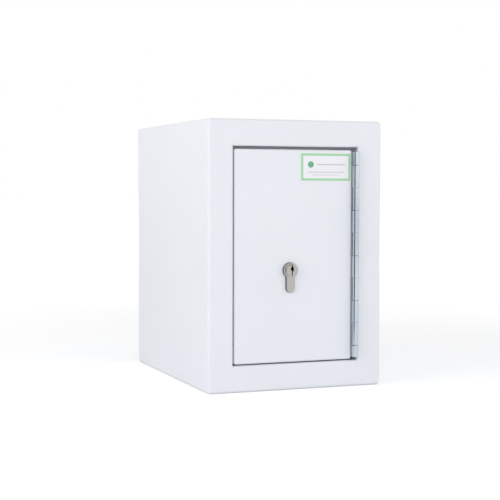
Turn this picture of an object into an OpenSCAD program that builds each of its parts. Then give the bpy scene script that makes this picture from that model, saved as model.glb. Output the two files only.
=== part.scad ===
// Lockable medicine cabinet: a welded steel box with an inset door on a full-length
// hinge, a euro profile half cylinder working a sliding deadbolt, and one lift-out shelf.
// Millimetres. +Z is up and the door faces -Y. The origin is under the middle of the
// bounding box. Each sub-part is drawn with Y measured back from the front frame's face,
// and from_front() then moves it to its place.

/* [Cabinet body] */
// Outside width
body_w = 208; // [200:1:260]
// Depth from the frame's front face to the back
body_d = 275; // [200:5:400]
// Outside height
body_h = 300; // [300:5:420]
// Thickness of the body's and the door's sheet
sheet = 2; // [1.5:0.5:2]
// Outside radius of the body's bent edges
body_bend = 3.5; // [3:0.5:5]
// Width of the front frame at each side
side_border = 29; // [29:1:36]
// Width of the front frame above and below the door
end_border = 29.6; // [28:0.2:32]
// Depth of the return folded in round the doorway
return_d = 20; // [20:1:22]
// Depth of the lip folded down behind the door's top edge
top_lip = 8; // [6:1:10]
// Outside radius of the bend round the doorway and the door
edge_bend = 2.5; // [2.5:0.5:3]
// Wall fixing hole, across
fixing_d = 11; // [8:0.5:14]
// Spacing of the wall fixing holes, side to side
fixing_x = 120; // [80:5:150]
// Spacing of the wall fixing holes, up and down
fixing_z = 200; // [140:5:240]

/* [Door] */
// Gap down the lock side of the door
lock_gap = 1.5; // [1.5:0.1:2]
// Gap between the door's hinge edge and the frame, which holds the hinge
hinge_gap = 7.2; // [7.2:0.1:8]
// Gap under the door
bottom_gap = 1.4; // [1.2:0.1:4]
// Gap over the door
top_gap = 3.2; // [1.2:0.1:4]
// How far the door's face sits back from the frame's face
door_inset = 0.5; // [0.3:0.1:1]
// Depth of the door's folded edge, behind its face
door_return = 15; // [12:0.5:15]
// Reach of the strip that hooks behind the frame on the hinge side
strip_reach = 14; // [8:1:16]

/* [Hinge] */
// Diameter of the hinge pin
pin_d = 4; // [3:0.5:4]
// Thickness of the hinge's leaves
leaf_t = 1.5; // [1.2:0.1:1.5]
// Length of one knuckle and its gap
knuckle_pitch = 25.4; // [25:0.1:26]
// Distance of the hinge's lower end from the doorway's lower edge
hinge_lift = 4.2; // [3:0.1:6]
// Distance of the hinge's upper end from the doorway's upper edge
hinge_drop = 5; // [3:0.1:6]
// Length of the cut knuckle at the hinge's lower end
cut_knuckle = 13.6; // [10:0.1:20]
// How far the barrel's centre stands in front of the frame's face
barrel_front = 2.6; // [2.4:0.1:3]

/* [Lock] */
// Height of the cylinder's axis
key_z = 133.5; // [130:0.5:150]
// Distance of the cylinder's axis left of the middle of the cabinet
key_left = 8; // [6:0.5:8]
// Diameter of the round head of the euro profile
profile_d = 17; // [17:0.1:17.5]
// Width of the euro profile's stem
stem_w = 10; // [10:0.1:10.3]
// Overall height of the euro profile
profile_h = 33; // [33:0.1:33.5]
// Diameter of the plug that the key turns
plug_d = 13; // [12:0.5:13]
// How far the plug stands proud of the cylinder's face
plug_proud = 2; // [0:0.1:2.5]
// How far the cylinder stands proud of the door
cylinder_proud = 3; // [2:0.5:3]
// Distance from the cylinder's front to the middle of its cam
outer_length = 30; // [30:0.5:30.5]
// Distance from the middle of the cam to the cylinder's back
inner_length = 10; // [10:0.5:11]
// Number of pin stacks in the cylinder
pin_stacks = 5; // [5:1:5]
// Travel of the deadbolt
throw = 20; // [18:1:20]
// Height of the deadbolt's head
bolt_h = 25; // [22:1:25]
// Thickness of the deadbolt's head
bolt_t = 10; // [8:1:10]

/* [Shelf] */
// Height of the shelf's loading face over the floor of the cabinet
shelf_z = 151.2; // [150:0.1:190]
// Thickness of the shelf's sheet
shelf_t = 1.2; // [1:0.1:1.5]
// Height of the shelf's front and back lips
shelf_lip = 14; // [10:1:16]

/* [Label] */
// Width of the write-on label
label_w = 60; // [40:1:60]
// Height of the write-on label
label_h = 30; // [20:1:30]

/* [Hidden] */
$fn = 48;
over = 1; // how far a cutter runs past the face it cuts

steel_white = [0.91, 0.92, 0.94];
zinc = [0.78, 0.80, 0.82];
nickel = [0.74, 0.72, 0.69];
brass = [0.80, 0.66, 0.35];
spring_steel = [0.55, 0.56, 0.58];
rubber_black = [0.12, 0.12, 0.13];
label_white = [0.94, 0.95, 0.94];

// The doorway
open_x = body_w / 2 - side_border;
open_z0 = end_border;
open_z1 = body_h - end_border;

// The hinge: two leaves stand side by side in the gap, and the barrel closes it in front
barrel_r = hinge_gap / 2;
pin_r = pin_d / 2;
pin_play = 0.05;
hinge_x = open_x - barrel_r;
hinge_y = -barrel_front;
leaf_d = 15;
leaf_start = hinge_y + barrel_r + 0.4;
hinge_z0 = open_z0 + hinge_lift;
hinge_z1 = open_z1 - hinge_drop;
first_joint_z = hinge_z0 + cut_knuckle;
// The strip is cut to length: its two end knuckles are what is left of a whole number
whole_knuckles = floor((hinge_z1 - first_joint_z) / knuckle_pitch - 0.2);
knuckle_count = whole_knuckles + 2;
knuckle_rub = 0.1; // under each of the door's knuckles, which carry it
knuckle_gap = 0.6; // over each of the door's knuckles

// The whole depth runs from the hinge barrel to the back, with the origin under its middle
front_y = -(body_d + hinge_y - barrel_r) / 2;

// The door
door_x0 = -open_x + lock_gap;
door_x1 = open_x - hinge_gap;
door_z0 = open_z0 + bottom_gap;
door_z1 = open_z1 - top_gap;
door_back = door_inset + door_return;
door_inner = door_inset + sheet;

// The euro profile cylinder
key_x = -key_left;
profile_r = profile_d / 2;
stem_r = stem_w / 2;
stem_z = key_z + profile_r - profile_h + stem_r;
plug_r = plug_d / 2;
cyl_y0 = door_inset - cylinder_proud;
cam_y = cyl_y0 + outer_length;
cyl_y1 = cam_y + inner_length;
cutout_play = 0.2; // round the cylinder, in the door and in the lock case
turned_edge = 0.4; // chamfer round the front of the cylinder and of its plug
cam_w = 10;
slot_y0 = cam_y - cam_w / 2 - 0.2;
slot_y1 = cam_y + cam_w / 2 + 0.2;
hub_r = 8;
nose_r = 15;
rest_tilt = 45; // the cam's nose leans this far towards the hinge with the bolt drawn back
tail_r = 4.5;
flat_x = 3.5;
clip_t = 0.7;
clip_y = cam_y + 3.85;
pin_pitch = 4;
chamber_r = 1.5;
stack_r = 1.4;
driver_top = key_z - plug_r - 0.4;
chamber_top = key_z - 0.5; // the bores end inside the keyway, clear of the longest key pin
driver_len = 4;

// The two stops on the lock side
stop_h = 18;
stop_z = [44, body_h - 44 - stop_h];

// The lock case, a folded tray with a cover, held behind the door by two brackets
case_t = 1.5;
case_x0 = -69;
case_x1 = 17;
case_z0 = 98;
case_z1 = 176;
case_y0 = cam_y - 7.5;
case_y1 = cam_y + 7.5;
screw_r = 2;
screw_x = [case_x0 + 8, case_x1 - 8];
screw_z = [case_z0 + 5.5, case_z1 - 6];
bracket_reach = 10;

// The deadbolt
bolt_z0 = 140;
bolt_z1 = bolt_z0 + bolt_h;
tail_z0 = key_z + hub_r + 0.8;
head_len = 28;
head_x0 = case_x0 + 0.2;
tail_x1 = case_x1 - case_t - 1.3;
tail_t = 4;
post_x = -34;
post_z = 156;
post_r = 3;
notch_x = key_x + throw / 2;

// The shelf and its supports
shelf_y0 = 56;
shelf_y1 = body_d - sheet - 5;
shelf_side_gap = 2;

module from_front() {
    translate([0, front_y, 0]) children();
}

// A flat shape drawn in X and Z, made solid from y0 back to y1
module along_y(y0, y1) {
    translate([0, y1, 0]) rotate([90, 0, 0]) linear_extrude(y1 - y0) children();
}

// A flat shape drawn in Y and Z, made solid from x0 to x1
module along_x(x0, x1) {
    translate([x0, 0, 0]) rotate([90, 0, 90]) linear_extrude(x1 - x0) children();
}

// A box between two opposite corners
module block(low, high) {
    translate(low) cube(high - low);
}

// A quarter turn of bent sheet about its own centre, in the quadrant (sx, sy)
module bend(r, t, sx, sy) {
    intersection() {
        difference() {
            circle(r);
            circle(r - t);
        }
        translate([min(0, sx * r), min(0, sy * r)]) square(r);
    }
}

// A folded panel's section: skin, bend, front border, bend and return. The outside face
// of the skin is at half_w, and the doorway's edge at half_w - border
module frame_section(half_w, border) {
    edge = half_w - border;
    translate([half_w - sheet, body_bend]) square([sheet, body_d - body_bend]);
    translate([half_w - body_bend, body_bend]) bend(body_bend, sheet, 1, -1);
    translate([edge + edge_bend, 0]) square([border - body_bend - edge_bend, sheet]);
    translate([edge + edge_bend, edge_bend]) bend(edge_bend, sheet, -1, -1);
    translate([edge, edge_bend]) square([sheet, return_d - edge_bend]);
}

// The front of the box with its four long edges rounded
module body_outline() {
    r = body_bend;
    translate([-body_w / 2, r]) square([body_w, body_h - 2 * r]);
    translate([-body_w / 2 + r, 0]) square([body_w - 2 * r, body_h]);
    for (x = [-body_w / 2 + r, body_w / 2 - r], z = [r, body_h - r]) {
        translate([x, z]) circle(r);
    }
}

// The right-hand share of the box, cut off by mitres through the corners
module side_share() {
    run = side_border + over;
    rise = run * end_border / side_border;
    polygon([
        [open_x, open_z0],
        [open_x + run, open_z0 - rise],
        [open_x + run, open_z1 + rise],
        [open_x, open_z1]
    ]);
}

// The upper share of the box, which ends on the same mitres
module top_share() {
    rise = end_border + over;
    run = rise * side_border / end_border;
    polygon([
        [open_x, open_z1],
        [open_x + run, open_z1 + rise],
        [-open_x - run, open_z1 + rise],
        [-open_x, open_z1]
    ]);
}

module side_panel() {
    color(steel_white) from_front() intersection() {
        linear_extrude(body_h) frame_section(body_w / 2, side_border);
        along_y(-over, body_d + over) intersection() {
            body_outline();
            side_share();
        }
    }
}

module right_side_panel() {
    side_panel();
}

module left_side_panel() {
    mirror([1, 0, 0]) side_panel();
}

module end_panel() {
    intersection() {
        translate([0, 0, body_h / 2]) rotate([0, -90, 0])
            translate([0, 0, -body_w / 2]) linear_extrude(body_w)
                frame_section(body_h / 2, end_border);
        along_y(-over, body_d + over) intersection() {
            body_outline();
            top_share();
        }
    }
}

// The top return ends in a lip that closes the gap over the door
module top_panel() {
    color(steel_white) from_front() {
        end_panel();
        block([-open_x, return_d - sheet, open_z1 - top_lip], [open_x, return_d, open_z1 + sheet / 2]);
    }
}

module bottom_panel() {
    color(steel_white) from_front() translate([0, 0, body_h]) mirror([0, 0, 1]) end_panel();
}

// A plate let in between the four panels, with the holes for the wall bolts
module back_panel() {
    color(steel_white) from_front() along_y(body_d - sheet, body_d) difference() {
        translate([-body_w / 2 + sheet, sheet]) square([body_w - 2 * sheet, body_h - 2 * sheet]);
        for (x = [-fixing_x / 2, fixing_x / 2], z = [-fixing_z / 2, fixing_z / 2]) {
            translate([x, body_h / 2 + z]) circle(d = fixing_d);
        }
    }
}

// Height of knuckle joint i, where 0 is the hinge's lower end
function joint_z(i) =
    i == 0 ? hinge_z0 : i == knuckle_count ? hinge_z1 : first_joint_z + (i - 1) * knuckle_pitch;

// A leaf's section at one of its own knuckles: the plate, rolled round the pin until its end
// almost meets its own inner face
module knuckle_section() {
    seam = 0.2;
    difference() {
        union() {
            circle(barrel_r);
            translate([barrel_r - leaf_t, 0]) square([leaf_t, leaf_start - hinge_y + over]);
        }
        circle(pin_r + pin_play);
        translate([barrel_r - leaf_t - seam, pin_r / 4]) square([seam, barrel_r]);
    }
}

// One leaf of the hinge, as the frame's: the door's is its mirror image. Its knuckles are
// every second one from first, and rub and gap are the play under and over each of them
module hinge_leaf(first, rub, gap) {
    translate([hinge_x, hinge_y, 0]) {
        for (i = [first : 2 : knuckle_count - 1]) {
            z0 = joint_z(i) + rub;
            translate([0, 0, z0]) linear_extrude(joint_z(i + 1) - gap - z0) knuckle_section();
        }
        block(
            [barrel_r - leaf_t, leaf_start - hinge_y, hinge_z0],
            [barrel_r, leaf_d - hinge_y, hinge_z1]
        );
    }
}

module frame_hinge_leaf() {
    color(zinc) from_front() hinge_leaf(1, 0, 0);
}

module door_hinge_leaf() {
    color(zinc) from_front()
        translate([2 * hinge_x, 0, 0]) mirror([1, 0, 0]) hinge_leaf(0, knuckle_rub, knuckle_gap);
}

module hinge_pin() {
    color(spring_steel) from_front()
        translate([hinge_x, hinge_y, hinge_z0]) cylinder(r = pin_r, h = hinge_z1 - hinge_z0);
}

// A folded plate welded behind the frame's return, with the window the bolt shoots into
module bolt_keep() {
    keep_x = -open_x - sheet;
    keep_y1 = case_y1 + 3;
    lip = 12;
    color(steel_white) from_front() difference() {
        union() {
            block([keep_x - sheet, 4, bolt_z0 - 12], [keep_x, keep_y1, bolt_z1 + 12]);
            block([keep_x - lip, keep_y1 - sheet, bolt_z0 - 12], [keep_x, keep_y1, bolt_z1 + 12]);
        }
        block(
            [keep_x - sheet - over, cam_y - bolt_t / 2 - 1, bolt_z0 - 1],
            [keep_x + over, cam_y + bolt_t / 2 + 1, bolt_z1 + 1]
        );
    }
}

// A small angle behind the lock side of the doorway, whose lip stops the door
module door_stop(z) {
    foot_x = -open_x - sheet;
    block([foot_x - sheet, 6, z], [foot_x, return_d + sheet, z + stop_h]);
    block([foot_x - sheet, return_d, z], [-open_x + 8, return_d + sheet, z + stop_h]);
}

module door_stop_lower() {
    color(steel_white) from_front() door_stop(stop_z[0]);
}

module door_stop_upper() {
    color(steel_white) from_front() door_stop(stop_z[1]);
}

// A stick-on rubber buffer with a chamfered rim, just short of the door's folded edge
module door_buffer(z) {
    buffer_r = 3.2;
    buffer_t = return_d - door_back - 0.2;
    translate([-open_x + 3.7, return_d, z + stop_h / 2]) rotate([90, 0, 0]) {
        cylinder(r = buffer_r, h = buffer_t - 1);
        translate([0, 0, buffer_t - 1]) cylinder(r1 = buffer_r, r2 = buffer_r - 1, h = 1);
    }
}

module door_buffer_lower() {
    color(rubber_black) from_front() door_buffer(stop_z[0]);
}

module door_buffer_upper() {
    color(rubber_black) from_front() door_buffer(stop_z[1]);
}

// An angle welded to the inside of a side panel, as the right-hand one
module shelf_support() {
    face = body_w / 2 - sheet;
    leg = 15;
    under = shelf_z - shelf_t;
    front = shelf_y0 + 4;
    back = shelf_y1 - 4;
    translate([face - leaf_t, front, under - leg]) cube([leaf_t, back - front, leg]);
    translate([face - leg, front, under - leaf_t]) cube([leg, back - front, leaf_t]);
}

module shelf_support_right() {
    color(steel_white) from_front() shelf_support();
}

module shelf_support_left() {
    color(steel_white) from_front() mirror([1, 0, 0]) shelf_support();
}

// The outline of the euro profile, grown all round by grow
module euro_profile(grow) {
    translate([key_x, key_z]) circle(profile_r + grow);
    translate([key_x, stem_z]) circle(stem_r + grow);
    translate([key_x - stem_r - grow, stem_z]) square([stem_w + 2 * grow, key_z - stem_z]);
}

// The door's section in one direction: a flat rectangle with its two front corners rounded
module door_section(low, high) {
    r = edge_bend;
    translate([low, door_inset + r]) square([high - low, door_return - r]);
    translate([low + r, door_inset]) square([high - low - 2 * r, door_return]);
    translate([low + r, door_inset + r]) circle(r);
    translate([high - r, door_inset + r]) circle(r);
}

// A sheet tray, open to the back, pierced for the cylinder
module door_panel() {
    color(steel_white) from_front() difference() {
        intersection() {
            linear_extrude(body_h) door_section(door_x0, door_x1);
            translate([0, 0, (door_z0 + door_z1) / 2]) rotate([0, -90, 0])
                translate([0, 0, -body_w / 2]) linear_extrude(body_w)
                    door_section((door_z0 - door_z1) / 2, (door_z1 - door_z0) / 2);
        }
        block(
            [door_x0 + sheet, door_inner, door_z0 + sheet],
            [door_x1 - sheet, door_back + over, door_z1 - sheet]
        );
        along_y(-over, door_inner + over) euro_profile(cutout_play);
    }
}

// A folded strip inside the hinge edge that hooks behind the frame when the door is shut
module anti_jemmy_strip() {
    web_x = door_x1 - sheet;
    hook_y = return_d + 1.5;
    color(steel_white) from_front() {
        block([web_x - sheet, 5, door_z0 + 8], [web_x, hook_y + sheet, door_z1 - 8]);
        block([web_x, hook_y, door_z0 + 8], [web_x + 2 + strip_reach, hook_y + sheet, door_z1 - 8]);
    }
}

// A thin adhesive label in the door's upper hinge-side corner
module door_label() {
    label_t = 0.3;
    label_x1 = door_x1 - edge_bend - 0.1;
    label_z1 = door_z1 - 4.2;
    color(label_white) from_front() block(
        [label_x1 - label_w, door_inset - label_t, label_z1 - label_h],
        [label_x1, door_inset, label_z1]
    );
}

// A Z-shaped bracket: foot on the door, web, and flange in front of the lock case. edge_z is
// the end of the case that its web lines up with, and way is +1 above the case, -1 below
module lock_bracket(edge_z, way) {
    t = case_t;
    foot = 14;
    x0 = case_x0 + 6;
    x1 = case_x1 - 3;
    row = way > 0 ? screw_z[1] : screw_z[0];
    translate([0, 0, edge_z]) scale([1, 1, way]) difference() {
        union() {
            block([x0, door_inner, 0], [x1, door_inner + t, foot]);
            block([x0, door_inner, 0], [x1, case_y0, t]);
            block([x0, case_y0 - t, -bracket_reach], [x1, case_y0, t]);
        }
        for (x = screw_x) {
            translate([x, case_y0 + over, way * (row - edge_z)])
                rotate([90, 0, 0]) cylinder(r = screw_r + 0.03, h = 2 * over + case_t);
        }
    }
}

module lock_bracket_upper() {
    color(steel_white) from_front() lock_bracket(case_z1, 1);
}

module lock_bracket_lower() {
    color(steel_white) from_front() lock_bracket(case_z0, -1);
}

// Cutters for the four screws that clamp cover, case and brackets together
module screw_row(r, y0, y1) {
    for (x = screw_x, z = screw_z) {
        translate([x, y1, z]) rotate([90, 0, 0]) cylinder(r = r, h = y1 - y0);
    }
}

// A shallow folded tray with four screw pillars, a bolt window and the cylinder's cut-out
module lock_case() {
    wall = case_t;
    color(zinc) from_front() difference() {
        union() {
            difference() {
                block([case_x0, case_y0, case_z0], [case_x1, case_y1 - wall, case_z1]);
                block(
                    [case_x0 + wall, case_y0 + wall, case_z0 + wall],
                    [case_x1 - wall, case_y1, case_z1 - wall]
                );
            }
            screw_row(3.5, case_y0 + wall, case_y1 - wall);
        }
        screw_row(screw_r + 0.1, case_y0 - over, case_y1 + over);
        along_y(case_y0 - over, case_y0 + wall + over) euro_profile(cutout_play);
        block(
            [case_x0 - over, cam_y - bolt_t / 2 - 0.3, bolt_z0 - 0.5],
            [case_x0 + wall + over, cam_y + bolt_t / 2 + 0.3, bolt_z1 + 0.5]
        );
        translate([case_x0, cam_y, stem_z]) rotate([0, 90, 0])
            translate([0, 0, -0.5]) cylinder(r1 = 5.1, r2 = 2.6, h = 2.5);
    }
}

module lock_cover() {
    color(zinc) from_front() difference() {
        block([case_x0, case_y1 - case_t, case_z0], [case_x1, case_y1, case_z1]);
        screw_row(screw_r + 0.1, case_y1 - case_t - over, case_y1 + over);
        along_y(case_y1 - case_t - over, case_y1 + over) euro_profile(cutout_play);
    }
}

// Four pan-headed screws with slotted heads
module lock_screws() {
    head_r = 3.8;
    head_t = 2.4;
    color(spring_steel) from_front() for (x = screw_x, z = screw_z) {
        translate([x, case_y0 - case_t, z]) rotate([-90, 0, 0]) difference() {
            union() {
                cylinder(r = screw_r, h = case_y1 - case_y0 + case_t);
                translate([0, 0, case_y1 - case_y0 + case_t]) cylinder(r = head_r, h = head_t - 0.8);
                translate([0, 0, case_y1 - case_y0 + case_t + head_t - 0.8])
                    cylinder(r1 = head_r, r2 = head_r - 0.8, h = 0.8);
            }
            translate([-head_r, -0.5, case_y1 - case_y0 + case_t + head_t - 1.2])
                cube([2 * head_r, 1, 2]);
        }
    }
}

// The post that the deadbolt's slot slides on
module bolt_guide_post() {
    color(spring_steel) from_front()
        translate([post_x, case_y1 - case_t, post_z]) rotate([90, 0, 0])
            cylinder(r = post_r, h = case_y1 - case_y0 - 2 * case_t);
}

// A bowed leaf spring under the case's top wall that bears on the bolt's top edge
module bolt_spring() {
    t = 0.5;
    roof = case_z1 - case_t - 0.1;
    low = bolt_z1 + 0.3;
    half_span = 22;
    rise = roof - low;
    r = (half_span * half_span + rise * rise) / (2 * rise);
    mid_x = -28;
    color(spring_steel) from_front() along_y(cam_y - 4, cam_y + 4) intersection() {
        translate([mid_x, low + r]) difference() {
            circle(r);
            circle(r - t);
        }
        translate([mid_x - half_span - over, low - over]) square([2 * half_span + 2 * over, rise + over]);
    }
}

// A rod from y1 forward to y0 with its front edge turned off
module turned_rod(r, y0, y1) {
    translate([0, y1, 0]) rotate([90, 0, 0]) {
        cylinder(r = r, h = y1 - y0 - turned_edge);
        translate([0, 0, y1 - y0 - turned_edge])
            cylinder(r1 = r, r2 = r - turned_edge, h = turned_edge);
    }
}

// The euro profile as a bar with the same turned edge: head, foot and the stem between
module profile_bar(y0, y1) {
    c = turned_edge;
    translate([key_x, 0, key_z]) turned_rod(profile_r, y0, y1);
    translate([key_x, 0, stem_z]) turned_rod(stem_r, y0, y1);
    translate([key_x, 0, stem_z]) linear_extrude(key_z - stem_z) polygon([
        [-stem_r, y1], [-stem_r, y0 + c], [-stem_r + c, y0],
        [stem_r - c, y0], [stem_r, y0 + c], [stem_r, y1]
    ]);
}

// The half cylinder's housing: slotted for the cam, bored for the plug and the pin stacks
module cylinder_body() {
    color(nickel) from_front() difference() {
        profile_bar(cyl_y0, cyl_y1);
        block(
            [key_x - profile_d, slot_y0, key_z - hub_r - 0.6],
            [key_x + profile_d, slot_y1, key_z + profile_d]
        );
        translate([key_x, slot_y0 + over, key_z]) rotate([90, 0, 0])
            cylinder(r = plug_r + pin_play, h = slot_y0 - cyl_y0 + 2 * over);
        for (i = [0 : pin_stacks - 1]) {
            translate([key_x, stack_y(i), stem_z - 1]) cylinder(r = chamber_r, h = key_z - stem_z);
        }
        translate([key_x - stem_w, cam_y, stem_z]) rotate([0, 90, 0])
            cylinder(r = 2.53, h = 2 * stem_w);
    }
}

// Distance of pin stack i behind the frame's face
function stack_y(i) = cyl_y0 + 6 + i * pin_pitch;

// The long countersunk screw that passes the case's end wall and holds the cylinder
module cylinder_screw() {
    shank_r = 2.5;
    color(spring_steel) from_front() translate([case_x0, cam_y, stem_z]) rotate([0, 90, 0])
        difference() {
            union() {
                cylinder(r1 = 4.5, r2 = shank_r, h = 2);
                translate([0, 0, 2]) cylinder(r = shank_r, h = key_x + stem_r - case_x0 - 2);
            }
            translate([-5, -0.5, -over]) cube([10, 1, over + 1]);
        }
}

// The spring-loaded halves of the pin stacks, below the plug
module driver_pins() {
    color(brass) from_front() for (i = [0 : pin_stacks - 1]) {
        translate([key_x, stack_y(i), driver_top - driver_len]) cylinder(r = stack_r, h = driver_len);
    }
}

// A coil of square wire: rings of four corners stand side by side along a helix
function coil_points(r, wire, pitch, turns, steps) = [
    for (s = [0 : turns * steps], c = [[-1, -1], [1, -1], [1, 1], [-1, 1]])
        let (a = 360 * s / steps, d = r + c[0] * wire / 2)
            [d * cos(a), d * sin(a), pitch * s / steps + c[1] * wire / 2]
];
function coil_faces(rings) = concat(
    [[0, 1, 2], [0, 2, 3]],
    [
        for (s = [0 : rings - 2], c = [0 : 3])
            let (a = 4 * s + c, b = 4 * s + (c + 1) % 4)
                each [[a, a + 4, b + 4], [a, b + 4, b]]
    ],
    [for (f = [[0, 2, 1], [0, 3, 2]]) [for (c = f) 4 * (rings - 1) + c]]
);
module pin_springs() {
    wire = 0.3;
    turns = 5;
    steps = 8;
    length = driver_top - driver_len - stem_z + 0.5;
    pitch = (length - wire) / turns;
    color(spring_steel) from_front() for (i = [0 : pin_stacks - 1]) {
        translate([key_x, stack_y(i), stem_z - 0.6 + wire / 2])
            polyhedron(
                coil_points(stack_r - 0.25, wire, pitch, turns, steps),
                coil_faces(turns * steps + 1)
            );
    }
}

// The keyway's section about the plug's axis: open at the top, with a wide lobe for the key's
// side rib and a narrow slot down to the pins
module keyway() {
    back_x = [0.3, 1.7];
    rib_x = [-1.1, 2.7];
    slot_x = [0.3, 1.3];
    translate([key_x, key_z]) polygon([
        [back_x[0], plug_r + over], [back_x[0], 3.7], [rib_x[0], 2.8], [rib_x[0], 1],
        [slot_x[0], 0.1], [slot_x[0], -5.6], [slot_x[1], -5.6], [slot_x[1], -1.6],
        [rib_x[1], -0.2], [rib_x[1], 3.3], [back_x[1], 4], [back_x[1], plug_r + over]
    ]);
}

// The plug: its tail has two flats for the cam and a groove for the clip behind it
module cylinder_plug() {
    front = cyl_y0 - plug_proud;
    tail_y = cam_y + 4.9;
    color(nickel) from_front() difference() {
        union() {
            translate([key_x, 0, key_z]) turned_rod(plug_r, front, slot_y0);
            along_y(slot_y0, tail_y) intersection() {
                translate([key_x, key_z]) circle(tail_r);
                translate([key_x - flat_x, key_z - plug_r]) square([2 * flat_x, plug_d]);
            }
        }
        along_y(front - over, stack_y(pin_stacks - 1) + 3) keyway();
        for (i = [0 : pin_stacks - 1]) {
            translate([key_x, stack_y(i), key_z - plug_r - over])
                cylinder(r = chamber_r, h = chamber_top - key_z + plug_r + over);
        }
        translate([key_x, clip_y + clip_t + 0.1, key_z]) rotate([90, 0, 0]) difference() {
            cylinder(r = plug_r, h = clip_t + 0.2);
            translate([0, 0, -over]) cylinder(r = tail_r - 0.6, h = clip_t + 0.2 + 2 * over);
        }
    }
}

// The halves of the pin stacks that ride in the plug, cut to the key's steps
module key_pins() {
    lengths = [4.2, 5, 3.8, 4.6, 5.2];
    bottom = key_z - plug_r + 0.4;
    color(brass) from_front() for (i = [0 : pin_stacks - 1]) {
        translate([key_x, stack_y(i), bottom]) {
            cylinder(r = stack_r, h = lengths[i] - 1);
            translate([0, 0, lengths[i] - 1]) cylinder(r1 = stack_r, r2 = 0.5, h = 1);
        }
    }
}

// The cam: a hub on the plug's tail, and a tapering nose that drives the bolt
module cylinder_cam() {
    color(spring_steel) from_front() difference() {
        translate([key_x, 0, key_z]) rotate([0, rest_tilt, 0])
            along_y(cam_y - cam_w / 2, cam_y + cam_w / 2) {
                circle(hub_r);
                intersection() {
                    circle(nose_r);
                    polygon([[-4.4, 5], [4.4, 5], [3, nose_r + 1], [-3, nose_r + 1]]);
                }
            }
        along_y(cam_y - cam_w, cam_y + cam_w) intersection() {
            translate([key_x, key_z]) circle(tail_r + 0.05);
            translate([key_x - flat_x - 0.05, key_z - plug_r]) square([2 * flat_x + 0.1, plug_d]);
        }
        translate([key_x, cam_y + cam_w, key_z]) rotate([90, 0, 0])
            cylinder(r = tail_r + 2, h = cam_w - 3.8);
    }
}

// An open ring in the plug's groove that keeps the cam on
module cam_clip() {
    color(spring_steel) from_front() along_y(clip_y, clip_y + clip_t)
        translate([key_x, key_z]) difference() {
            circle(tail_r + 1.4);
            circle(tail_r - 0.55);
            translate([-1.6, -2 * tail_r]) square([3.2, 2 * tail_r]);
        }
}

// The sliding bolt: a square head, and a thin tail with the post's slot and the cam's notch
module deadbolt() {
    y0 = cam_y - bolt_t / 2;
    y1 = cam_y + bolt_t / 2;
    nib = 0.8;
    slot_run = throw + 0.4;
    color(nickel) from_front() {
        along_y(y0, y1) polygon([
            [head_x0, bolt_z0 + nib], [head_x0 + nib, bolt_z0],
            [head_x0 + head_len, bolt_z0], [head_x0 + head_len, bolt_z1],
            [head_x0 + nib, bolt_z1], [head_x0, bolt_z1 - nib]
        ]);
        along_y(cam_y - tail_t / 2, cam_y + tail_t / 2) difference() {
            translate([head_x0 + head_len, tail_z0])
                square([tail_x1 - head_x0 - head_len, bolt_z1 - tail_z0]);
            for (x = [post_x - 0.2, post_x - 0.2 + slot_run]) {
                translate([x, post_z]) circle(post_r + 0.3);
            }
            translate([post_x - 0.2, post_z - post_r - 0.3]) square([slot_run, 2 * post_r + 0.6]);
            translate([notch_x, tail_z0]) polygon([
                [-7.9, -0.1], [7.9, -0.1], [4.6, 3.2], [4, 4.7], [4, 7.1],
                [-4, 7.1], [-4, 4.7], [-4.6, 3.2]
            ]);
        }
    }
}

// A tray of thin sheet: the front lip is folded down and the back lip up
module shelf() {
    r = 2.2;
    t = shelf_t;
    half_w = body_w / 2 - sheet - shelf_side_gap;
    color(steel_white) from_front() along_x(-half_w, half_w) {
        translate([shelf_y0 + r, shelf_z - t]) square([shelf_y1 - shelf_y0 - 2 * r, t]);
        translate([shelf_y0 + r, shelf_z - r]) bend(r, t, -1, 1);
        translate([shelf_y0, shelf_z - shelf_lip]) square([t, shelf_lip - r]);
        translate([shelf_y1 - r, shelf_z - t + r]) bend(r, t, 1, -1);
        translate([shelf_y1 - t, shelf_z - t + r]) square([t, shelf_lip - r]);
    }
}

left_side_panel();
right_side_panel();
top_panel();
bottom_panel();
back_panel();
frame_hinge_leaf();
hinge_pin();
bolt_keep();
door_stop_lower();
door_stop_upper();
door_buffer_lower();
door_buffer_upper();
shelf_support_left();
shelf_support_right();
door_panel();
door_hinge_leaf();
anti_jemmy_strip();
door_label();
lock_bracket_lower();
lock_bracket_upper();
lock_case();
lock_cover();
lock_screws();
bolt_guide_post();
bolt_spring();
cylinder_body();
cylinder_screw();
driver_pins();
pin_springs();
cylinder_plug();
key_pins();
cylinder_cam();
cam_clip();
deadbolt();
shelf();
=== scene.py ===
from math import atan2, cos, pi, radians, sin

import bmesh
import bpy
from mathutils import Matrix, Vector


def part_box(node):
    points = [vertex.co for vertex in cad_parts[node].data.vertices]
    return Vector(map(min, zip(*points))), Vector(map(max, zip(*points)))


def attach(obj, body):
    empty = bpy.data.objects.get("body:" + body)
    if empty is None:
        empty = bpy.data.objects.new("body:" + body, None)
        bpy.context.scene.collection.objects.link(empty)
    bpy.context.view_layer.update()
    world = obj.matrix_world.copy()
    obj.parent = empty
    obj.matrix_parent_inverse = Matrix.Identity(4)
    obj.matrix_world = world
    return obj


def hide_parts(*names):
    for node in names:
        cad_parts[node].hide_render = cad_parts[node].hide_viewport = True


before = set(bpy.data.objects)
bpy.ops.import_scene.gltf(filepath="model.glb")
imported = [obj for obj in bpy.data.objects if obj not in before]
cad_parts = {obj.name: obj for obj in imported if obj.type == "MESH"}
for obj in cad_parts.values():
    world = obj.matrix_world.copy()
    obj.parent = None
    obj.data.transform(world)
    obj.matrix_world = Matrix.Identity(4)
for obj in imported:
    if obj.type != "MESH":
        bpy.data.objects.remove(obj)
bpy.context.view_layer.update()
scene = bpy.context.scene
scene.view_settings.view_transform = "Standard"

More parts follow.
